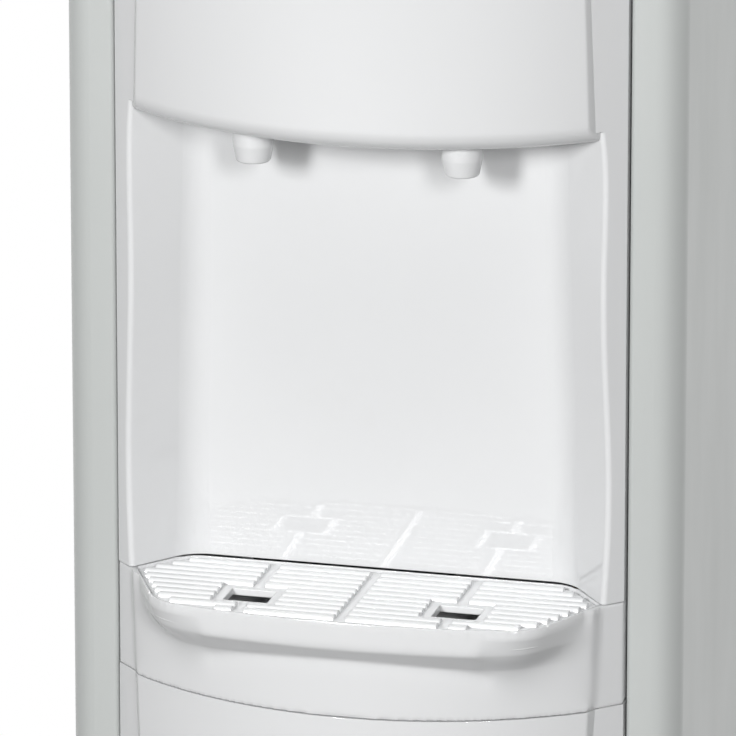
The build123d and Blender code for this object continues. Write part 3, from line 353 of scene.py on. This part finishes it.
def newTree(name, inputs):
    tree = bpy.data.node_groups.new(name, "GeometryNodeTree")
    tree.interface.new_socket("Geometry", in_out="INPUT", socket_type="NodeSocketGeometry")
    for label, kind, value in inputs:
        socket = tree.interface.new_socket(label, in_out="INPUT", socket_type=kind)
        socket.default_value = value
    tree.interface.new_socket("Geometry", in_out="OUTPUT", socket_type="NodeSocketGeometry")
    return tree, tree.nodes.new("NodeGroupInput"), tree.nodes.new("NodeGroupOutput")


def addNode(tree, kind, **settings):
    node = tree.nodes.new(kind)
    for key, value in settings.items():
        setattr(node, key, value)
    return node


def closeTree(tree, geometry, output, material):
    realize = addNode(tree, "GeometryNodeRealizeInstances")
    paint = addNode(tree, "GeometryNodeSetMaterial")
    paint.inputs["Material"].default_value = material
    tree.links.new(geometry, realize.inputs[0])
    tree.links.new(realize.outputs[0], paint.inputs["Geometry"])
    tree.links.new(paint.outputs[0], output.inputs[0])


def runTree(piece, tree, values):
    modifier = piece.modifiers.new("build", "NODES")
    modifier.node_group = tree
    for item in tree.interface.items_tree:
        if item.in_out == "INPUT" and item.name in values:
            modifier[item.identifier] = values[item.name]
    freezeModifiers(piece)


# Shelf moulding: the lip under the plate runs into the bulge without an edge
shelfLook = {
    "voxel": 0.00125, "sharpAngle": 40, "planes": (0.5073, 0.5597), "planeReach": 0.0007,
    "lipLevels": (0.5105, 0.5555), "lipFront": -0.122, "lipEnds": (0.070, 0.1165),
    "endPasses": 260, "kneePasses": 10, "smoothing": 0.5,
    "below": 0.520, "foot": 0.533, "footLift": 0.0012, "knee": 0.5483, "kneeDrop": 0.0024,
    "rim": 0.5590, "facingOut": 0.1,
}


def lipShift(level, facesOut, look):
    lift = look["footLift"] if facesOut else 0.0
    if level > look["knee"]:
        return -look["kneeDrop"] * (look["rim"] - level) / (look["rim"] - look["knee"])
    if level > look["foot"]:
        along = (level - look["foot"]) / (look["knee"] - look["foot"])
        return -look["kneeDrop"] * along + lift * (1 - along)
    return lift * (level - look["below"]) / (look["foot"] - look["below"])


def makeShelf(look):
    piece = mergedCopy("shelf_panel", "shelfMoulding")
    remesh = piece.modifiers.new("skin", "REMESH")
    remesh.mode = "VOXEL"
    remesh.voxel_size = look["voxel"]
    remesh.use_smooth_shade = True
    freezeModifiers(piece)
    shape = bmesh.new()
    shape.from_mesh(piece.data)

    lowest, highest = look["lipLevels"]
    nearest, farthest = look["lipEnds"]
    lip = [v for v in shape.verts if lowest < v.co.z < highest and v.co.y < look["lipFront"]]
    ends = [v for v in lip if nearest < abs(v.co.x) < farthest]
    for passes, group in ((look["endPasses"], ends), (look["kneePasses"], lip)):
        for _ in range(passes):
            bmesh.ops.smooth_vert(
                shape, verts=group, factor=look["smoothing"],
                use_axis_x=True, use_axis_y=True, use_axis_z=True,
            )

    # The knee comes down and the foot of the outer skin up, so the underside is short and steep
    shape.normal_update()
    for vertex in shape.verts:
        if look["below"] < vertex.co.z < look["rim"] and vertex.co.y <= look["lipFront"]:
            facesOut = max(vertex.normal.y, vertex.normal.z) < look["facingOut"]
            vertex.co.z += lipShift(vertex.co.z, facesOut, look)
        for plane in look["planes"]:
            if abs(vertex.co.z - plane) < look["planeReach"]:
                vertex.co.z = plane
    shape.to_mesh(piece.data)
    shape.free()
    smoothShade(piece, look["sharpAngle"])
    finishPiece(piece, "cabinet", "front_plastic", "shelf_panel")
    return piece


# Drip plate: a plain sheet with its drains, and ribs laid on it between the channels
plateLook = {
    "sheetTop": 0.5583, "cutBelow": 0.00002, "flatAngle": 0.02, "edgeRound": 0.0005, "edgeSteps": 2,
    "edgeAngle": 50, "sharpAngle": 20,
    "ribTop": 0.5605, "ribWidth": 0.0056, "ribRound": 0.0021, "roundSteps": 6, "leastRib": 0.003,
    "ribCount": 11, "firstRib": -0.0113, "ribPitch": 0.00695,
    "channelStep": 0.052, "channelHalf": 0.0030,
    "drainStep": 0.053, "drainForward": 0.033, "frameHalf": (0.0165, 0.0120), "flangePlane": -0.112,
    "outline": (
        (0.0935, -0.0138), (0.1137, 0.0072), (0.1105, 0.0165), (0.0965, 0.0440),
        (0.0875, 0.0523), (0.0700, 0.0575), (0.0350, 0.0615), (0.0, 0.0627),
    ),
}


def plateHalfWidth(reach, look):
    corners = look["outline"]
    half = corners[0][0] if reach < corners[0][1] else 0.0
    for (x0, f0), (x1, f1) in zip(corners, corners[1:]):
        if f0 <= reach <= f1:
            half = x0 + (x1 - x0) * (reach - f0) / (f1 - f0)
    return half


def ribSegments(look):
    segments = []
    for rib in range(look["ribCount"]):
        reach = look["firstRib"] + rib * look["ribPitch"]
        half = plateHalfWidth(reach, look)
        stops = [(x, look["channelHalf"]) for x in (-look["channelStep"], 0, look["channelStep"])]
        if abs(reach - look["drainForward"]) < look["frameHalf"][1] + look["ribWidth"] / 2:
            stops += [(x, look["frameHalf"][0]) for x in (-look["drainStep"], look["drainStep"])]
        start = -half
        for low, high in sorted((x - gap, x + gap) for x, gap in stops):
            if low > half:
                break
            if low - start > look["leastRib"]:
                segments.append((start, low, reach))
            start = max(start, high)
        if half - start > look["leastRib"]:
            segments.append((start, half, reach))
    return segments


def plateSheet(look):
    sheet = mergedCopy("drip_plate", "dripPlateSheet")
    shape = bmesh.new()
    shape.from_mesh(sheet.data)
    everything = shape.verts[:] + shape.edges[:] + shape.faces[:]
    level = (0, 0, look["sheetTop"] - look["cutBelow"])
    cut = bmesh.ops.bisect_plane(
        shape, geom=everything, plane_co=level, plane_no=(0, 0, 1), clear_outer=True
    )
    rim = [e for e in cut["geom_cut"] if isinstance(e, bmesh.types.BMEdge)]
    bmesh.ops.triangle_fill(shape, edges=rim, use_beauty=True)
    bmesh.ops.dissolve_limit(
        shape, angle_limit=look["flatAngle"], verts=shape.verts, edges=shape.edges
    )
    bmesh.ops.recalc_face_normals(shape, faces=shape.faces)
    shape.to_mesh(sheet.data)
    shape.free()
    bevel = sheet.modifiers.new("edge", "BEVEL")
    bevel.width = look["edgeRound"]
    bevel.segments = look["edgeSteps"]
    bevel.limit_method = "ANGLE"
    bevel.angle_limit = math.radians(look["edgeAngle"])
    freezeModifiers(sheet)
    return sheet


def plateRibs(look):
    lines = bpy.data.meshes.new("ribLines")
    points, edges = [], []
    for start, end, reach in ribSegments(look):
        edges.append((len(points), len(points) + 1))
        points += [(x, look["flangePlane"] - reach, look["sheetTop"]) for x in (start, end)]
    lines.from_pydata(points, edges, [])
    ribs = linkPiece("dripPlateRibs", lines)
    sizes = {
        "Rib Width": look["ribWidth"], "Rib Height": 2 * (look["ribTop"] - look["sheetTop"]),
        "Round": look["ribRound"],
    }
    inputs = [(label, "NodeSocketFloat", value) for label, value in sizes.items()]
    tree, source, output = newTree("ribsAlongLines", inputs)
    curves = addNode(tree, "GeometryNodeMeshToCurve")
    upright = addNode(tree, "GeometryNodeSetCurveNormal", mode="Z_UP")
    profile = addNode(tree, "GeometryNodeCurvePrimitiveQuadrilateral", mode="RECTANGLE")
    rounded = addNode(tree, "GeometryNodeFilletCurve", mode="POLY")
    rounded.inputs["Count"].default_value = look["roundSteps"]
    rounded.inputs["Limit Radius"].default_value = True
    bar = addNode(tree, "GeometryNodeCurveToMesh")
    bar.inputs["Fill Caps"].default_value = True
    tree.links.new(source.outputs["Geometry"], curves.inputs[0])
    tree.links.new(curves.outputs[0], upright.inputs[0])
    tree.links.new(upright.outputs[0], bar.inputs["Curve"])
    tree.links.new(source.outputs["Rib Width"], profile.inputs["Width"])
    tree.links.new(source.outputs["Rib Height"], profile.inputs["Height"])
    tree.links.new(profile.outputs[0], rounded.inputs["Curve"])
    tree.links.new(source.outputs["Round"], rounded.inputs["Radius"])
    tree.links.new(rounded.outputs[0], bar.inputs["Profile Curve"])
    closeTree(tree, bar.outputs[0], output, materials["plate_plastic"])
    runTree(ribs, tree, sizes)
    return ribs


def makePlate(look):
    sheet, ribs = plateSheet(look), plateRibs(look)
    shape = bmesh.new()
    shape.from_mesh(sheet.data)
    shape.from_mesh(ribs.data)
    mesh = bpy.data.meshes.new("dripPlate")
    shape.to_mesh(mesh)
    shape.free()
    for part in (sheet, ribs):
        bpy.data.objects.remove(part)
    plate = linkPiece("dripPlate", mesh)
    smoothShade(plate, look["sharpAngle"])
    finishPiece(plate, "drip_plate", "plate_plastic", "drip_plate")
    return plate


# Rear panel screws: domed heads with a cross recess
screwLook = {
    "side": 0.148, "levels": (0.26, 0.42, 0.58, 0.74, 0.90), "plane": 0.158,
    "radius": 0.004, "dome": 0.0019, "slot": (0.0048, 0.0009, 0.0022),
    "segments": 32, "rings": 16, "sharpAngle": 35,
}


def makeScrews(look):
    places = [(x, look["plane"], z) for x in (-look["side"], look["side"]) for z in look["levels"]]
    points = bpy.data.meshes.new("screwPoints")
    points.from_pydata(places, [], [])
    screws = linkPiece("rearScrewHeads", points)
    tree, source, output = newTree("screwsOnPoints", [
        ("Radius", "NodeSocketFloat", look["radius"]), ("Dome", "NodeSocketFloat", look["dome"]),
        ("Slot", "NodeSocketVector", look["slot"]),
    ])
    ball = addNode(tree, "GeometryNodeMeshUVSphere")
    ball.inputs["Segments"].default_value = look["segments"]
    ball.inputs["Rings"].default_value = look["rings"]
    ball.inputs["Radius"].default_value = 1.0
    size = addNode(tree, "ShaderNodeCombineXYZ")
    for axis in ("X", "Y"):
        tree.links.new(source.outputs["Radius"], size.inputs[axis])
    tree.links.new(source.outputs["Dome"], size.inputs["Z"])
    dome = addNode(tree, "GeometryNodeTransform")
    tree.links.new(ball.outputs["Mesh"], dome.inputs["Geometry"])
    tree.links.new(size.outputs[0], dome.inputs["Scale"])
    lift = addNode(tree, "ShaderNodeCombineXYZ")
    tree.links.new(source.outputs["Dome"], lift.inputs["Z"])
    cutter = addNode(tree, "GeometryNodeMeshBoolean", operation="DIFFERENCE", solver="EXACT")
    tree.links.new(dome.outputs[0], cutter.inputs["Mesh 1"])
    for turn in (0.0, math.pi / 2):
        bar = addNode(tree, "GeometryNodeMeshCube")
        tree.links.new(source.outputs["Slot"], bar.inputs["Size"])
        place = addNode(tree, "GeometryNodeTransform")
        place.inputs["Rotation"].default_value = (0, 0, turn)
        tree.links.new(bar.outputs["Mesh"], place.inputs["Geometry"])
        tree.links.new(lift.outputs[0], place.inputs["Translation"])
        tree.links.new(place.outputs[0], cutter.inputs["Mesh 2"])
    heads = addNode(tree, "GeometryNodeInstanceOnPoints")
    heads.inputs["Rotation"].default_value = (-math.pi / 2, 0, 0)
    tree.links.new(source.outputs["Geometry"], heads.inputs["Points"])
    tree.links.new(cutter.outputs["Mesh"], heads.inputs["Instance"])
    closeTree(tree, heads.outputs[0], output, materials["steel"])
    runTree(screws, tree, {"Radius": look["radius"], "Dome": look["dome"], "Slot": look["slot"]})
    smoothShade(screws, look["sharpAngle"])
    finishPiece(screws, "cabinet", "steel", "rear_screws")
    return screws


makeShelf(shelfLook)
print("shelf moulding softened")
makePlate(plateLook)
print("drip plate made")
makeScrews(screwLook)
print("rear screws made")


stageSet = {
    "floorSize": 16.0, "floorColour": (0.78, 0.78, 0.78), "floorShade": (0.78, 0.78, 0.785),
    "floorRough": 0.85, "mottleScale": 3.0, "floorBounce": (0.20, 0.20, 0.20),
    "whiteBehind": (0.55, 1.05), "whiteFar": (3.2, 4.6), "whiteNear": (0.5, 1.6),
    "target": (-0.00127, -0.112, 0.670), "back": (0.2420, -0.9259, 0.2902), "distance": 4.6036,
    "lens": 457.27, "sensor": 36, "clipEnd": 50,
    "worldStrength": 0.03, "worldColour": (1.0, 1.0, 1.0),
    "lamps": [
        ("leftFrontLamp", (-0.85, -3.26, 1.82), (0.5, 0.7), 79),
        ("rightFrontLamp", (1.42, -3.01, 1.90), (0.5, 0.7), 47),
        ("lowFrontLamp", (-0.79, -3.2, 1.32), (0.5, 0.34), 5),
        ("upperLamp", (0.0, -1.0, 3.2), (1.6, 1.2), 8),
        ("leftSideLamp", (-3.2, 0.7, 1.5), (0.9, 1.6), 4),
        ("rightSideLamp", (3.2, 0.7, 1.5), (0.9, 1.6), 8),
        ("leftBackLamp", (-2.7, 2.2, 2.1), (1.4, 1.8), 64),
        ("rightBackLamp", (2.7, 2.2, 2.1), (1.4, 1.8), 66),
    ],
}


def reckon(tree, operation, first, second):
    step = tree.nodes.new("ShaderNodeMath")
    step.operation = operation
    tree.links.new(first, step.inputs[0])
    tree.links.new(second, step.inputs[1])
    return step.outputs[0]


def blendShaders(tree, value, first, second):
    mix = tree.nodes.new("ShaderNodeMixShader")
    for socket, source in zip(mix.inputs, (value, first, second)):
        tree.links.new(source, socket)
    return mix.outputs[0]


def seenByEye(tree):
    rays = tree.nodes.new("ShaderNodeLightPath")
    total = rays.outputs["Is Camera Ray"]
    for kind in ("Is Transmission Ray", "Is Glossy Ray"):
        total = reckon(tree, "MAXIMUM", total, rays.outputs[kind])
    return total, rays.outputs["Is Camera Ray"]


def makeFloor(look):
    mesh = bpy.data.meshes.new("floor")
    half = look["floorSize"] / 2
    shape = bmesh.new()
    corners = ((-1, -1), (1, -1), (1, 1), (-1, 1))
    shape.faces.new([shape.verts.new((x * half, y * half, 0)) for x, y in corners])
    shape.to_mesh(mesh)
    shape.free()
    floor = linkPiece("floor", mesh)
    material, tree, shader, place = newMaterial("floorPaint")
    mottle = spread(tree, noiseField(tree, place, look["mottleScale"], detail=4.0), middle)
    colour = blendColour(tree, mottle, look["floorColour"], look["floorShade"])
    tree.links.new(colour, shader.inputs["Base Color"])
    shader.inputs["Roughness"].default_value = look["floorRough"]
    bounce = tree.nodes.new("ShaderNodeBsdfDiffuse")  # what the floor throws back onto the object
    bounce.inputs["Color"].default_value = (*look["floorBounce"], 1)
    glow = tree.nodes.new("ShaderNodeEmission")
    glow.inputs["Strength"].default_value = 1.0

    # The floor turns white behind the object and far off, and sooner for the camera itself
    eye, camera = seenByEye(tree)
    reach = tree.nodes.new("ShaderNodeVectorMath")
    reach.operation = "LENGTH"
    tree.links.new(place, reach.inputs[0])
    axes = tree.nodes.new("ShaderNodeSeparateXYZ")
    tree.links.new(place, axes.inputs[0])
    behind = spread(tree, axes.outputs["Y"], look["whiteBehind"])
    far = spread(tree, reach.outputs["Value"], look["whiteFar"])
    near = spread(tree, reach.outputs["Value"], look["whiteNear"])
    white = reckon(tree, "MAXIMUM", behind, far)
    white = reckon(tree, "MAXIMUM", white, reckon(tree, "MULTIPLY", near, camera))
    seen = blendShaders(tree, white, shader.outputs["BSDF"], glow.outputs["Emission"])
    out = next(n for n in tree.nodes if n.type == "OUTPUT_MATERIAL")
    tree.links.new(blendShaders(tree, eye, bounce.outputs[0], seen), out.inputs["Surface"])
    mesh.materials.append(material)


def makeWorld(look):
    world = bpy.data.worlds.new("studio")
    world.use_nodes = True
    bpy.context.scene.world = world
    tree = world.node_tree
    tree.nodes.clear()
    out = tree.nodes.new("ShaderNodeOutputWorld")
    seen = tree.nodes.new("ShaderNodeBackground")
    seen.inputs["Color"].default_value = (1, 1, 1, 1)
    seen.inputs["Strength"].default_value = 1.0
    light = tree.nodes.new("ShaderNodeBackground")
    light.inputs["Color"].default_value = (*look["worldColour"], 1)
    light.inputs["Strength"].default_value = look["worldStrength"]
    eye, _ = seenByEye(tree)
    tree.links.new(blendShaders(tree, eye, light.outputs[0], seen.outputs[0]), out.inputs["Surface"])


def makeLamps(look):
    target = Vector(look["target"])
    for name, spot, size, power in look["lamps"]:
        data = bpy.data.lights.new(name, "AREA")
        data.shape = "RECTANGLE"
        data.size, data.size_y = size
        data.energy = power
        lamp = bpy.data.objects.new(name, data)
        lamp.location = spot
        lamp.rotation_euler = (target - Vector(spot)).to_track_quat("-Z", "Y").to_euler()
        bpy.context.scene.collection.objects.link(lamp)


def makeCamera(look):
    data = bpy.data.cameras.new("photoView")
    data.lens = look["lens"]
    data.sensor_width = look["sensor"]
    data.clip_end = look["clipEnd"]
    camera = bpy.data.objects.new("photoView", data)
    target, back = Vector(look["target"]), Vector(look["back"])
    camera.location = target + back.normalized() * look["distance"]
    camera.rotation_euler = (-back).to_track_quat("-Z", "Y").to_euler()
    bpy.context.scene.collection.objects.link(camera)
    bpy.context.scene.camera = camera


makeFloor(stageSet)
makeWorld(stageSet)
makeLamps(stageSet)
makeCamera(stageSet)
bpy.context.scene.view_settings.view_transform = "Standard"
print("stage set")
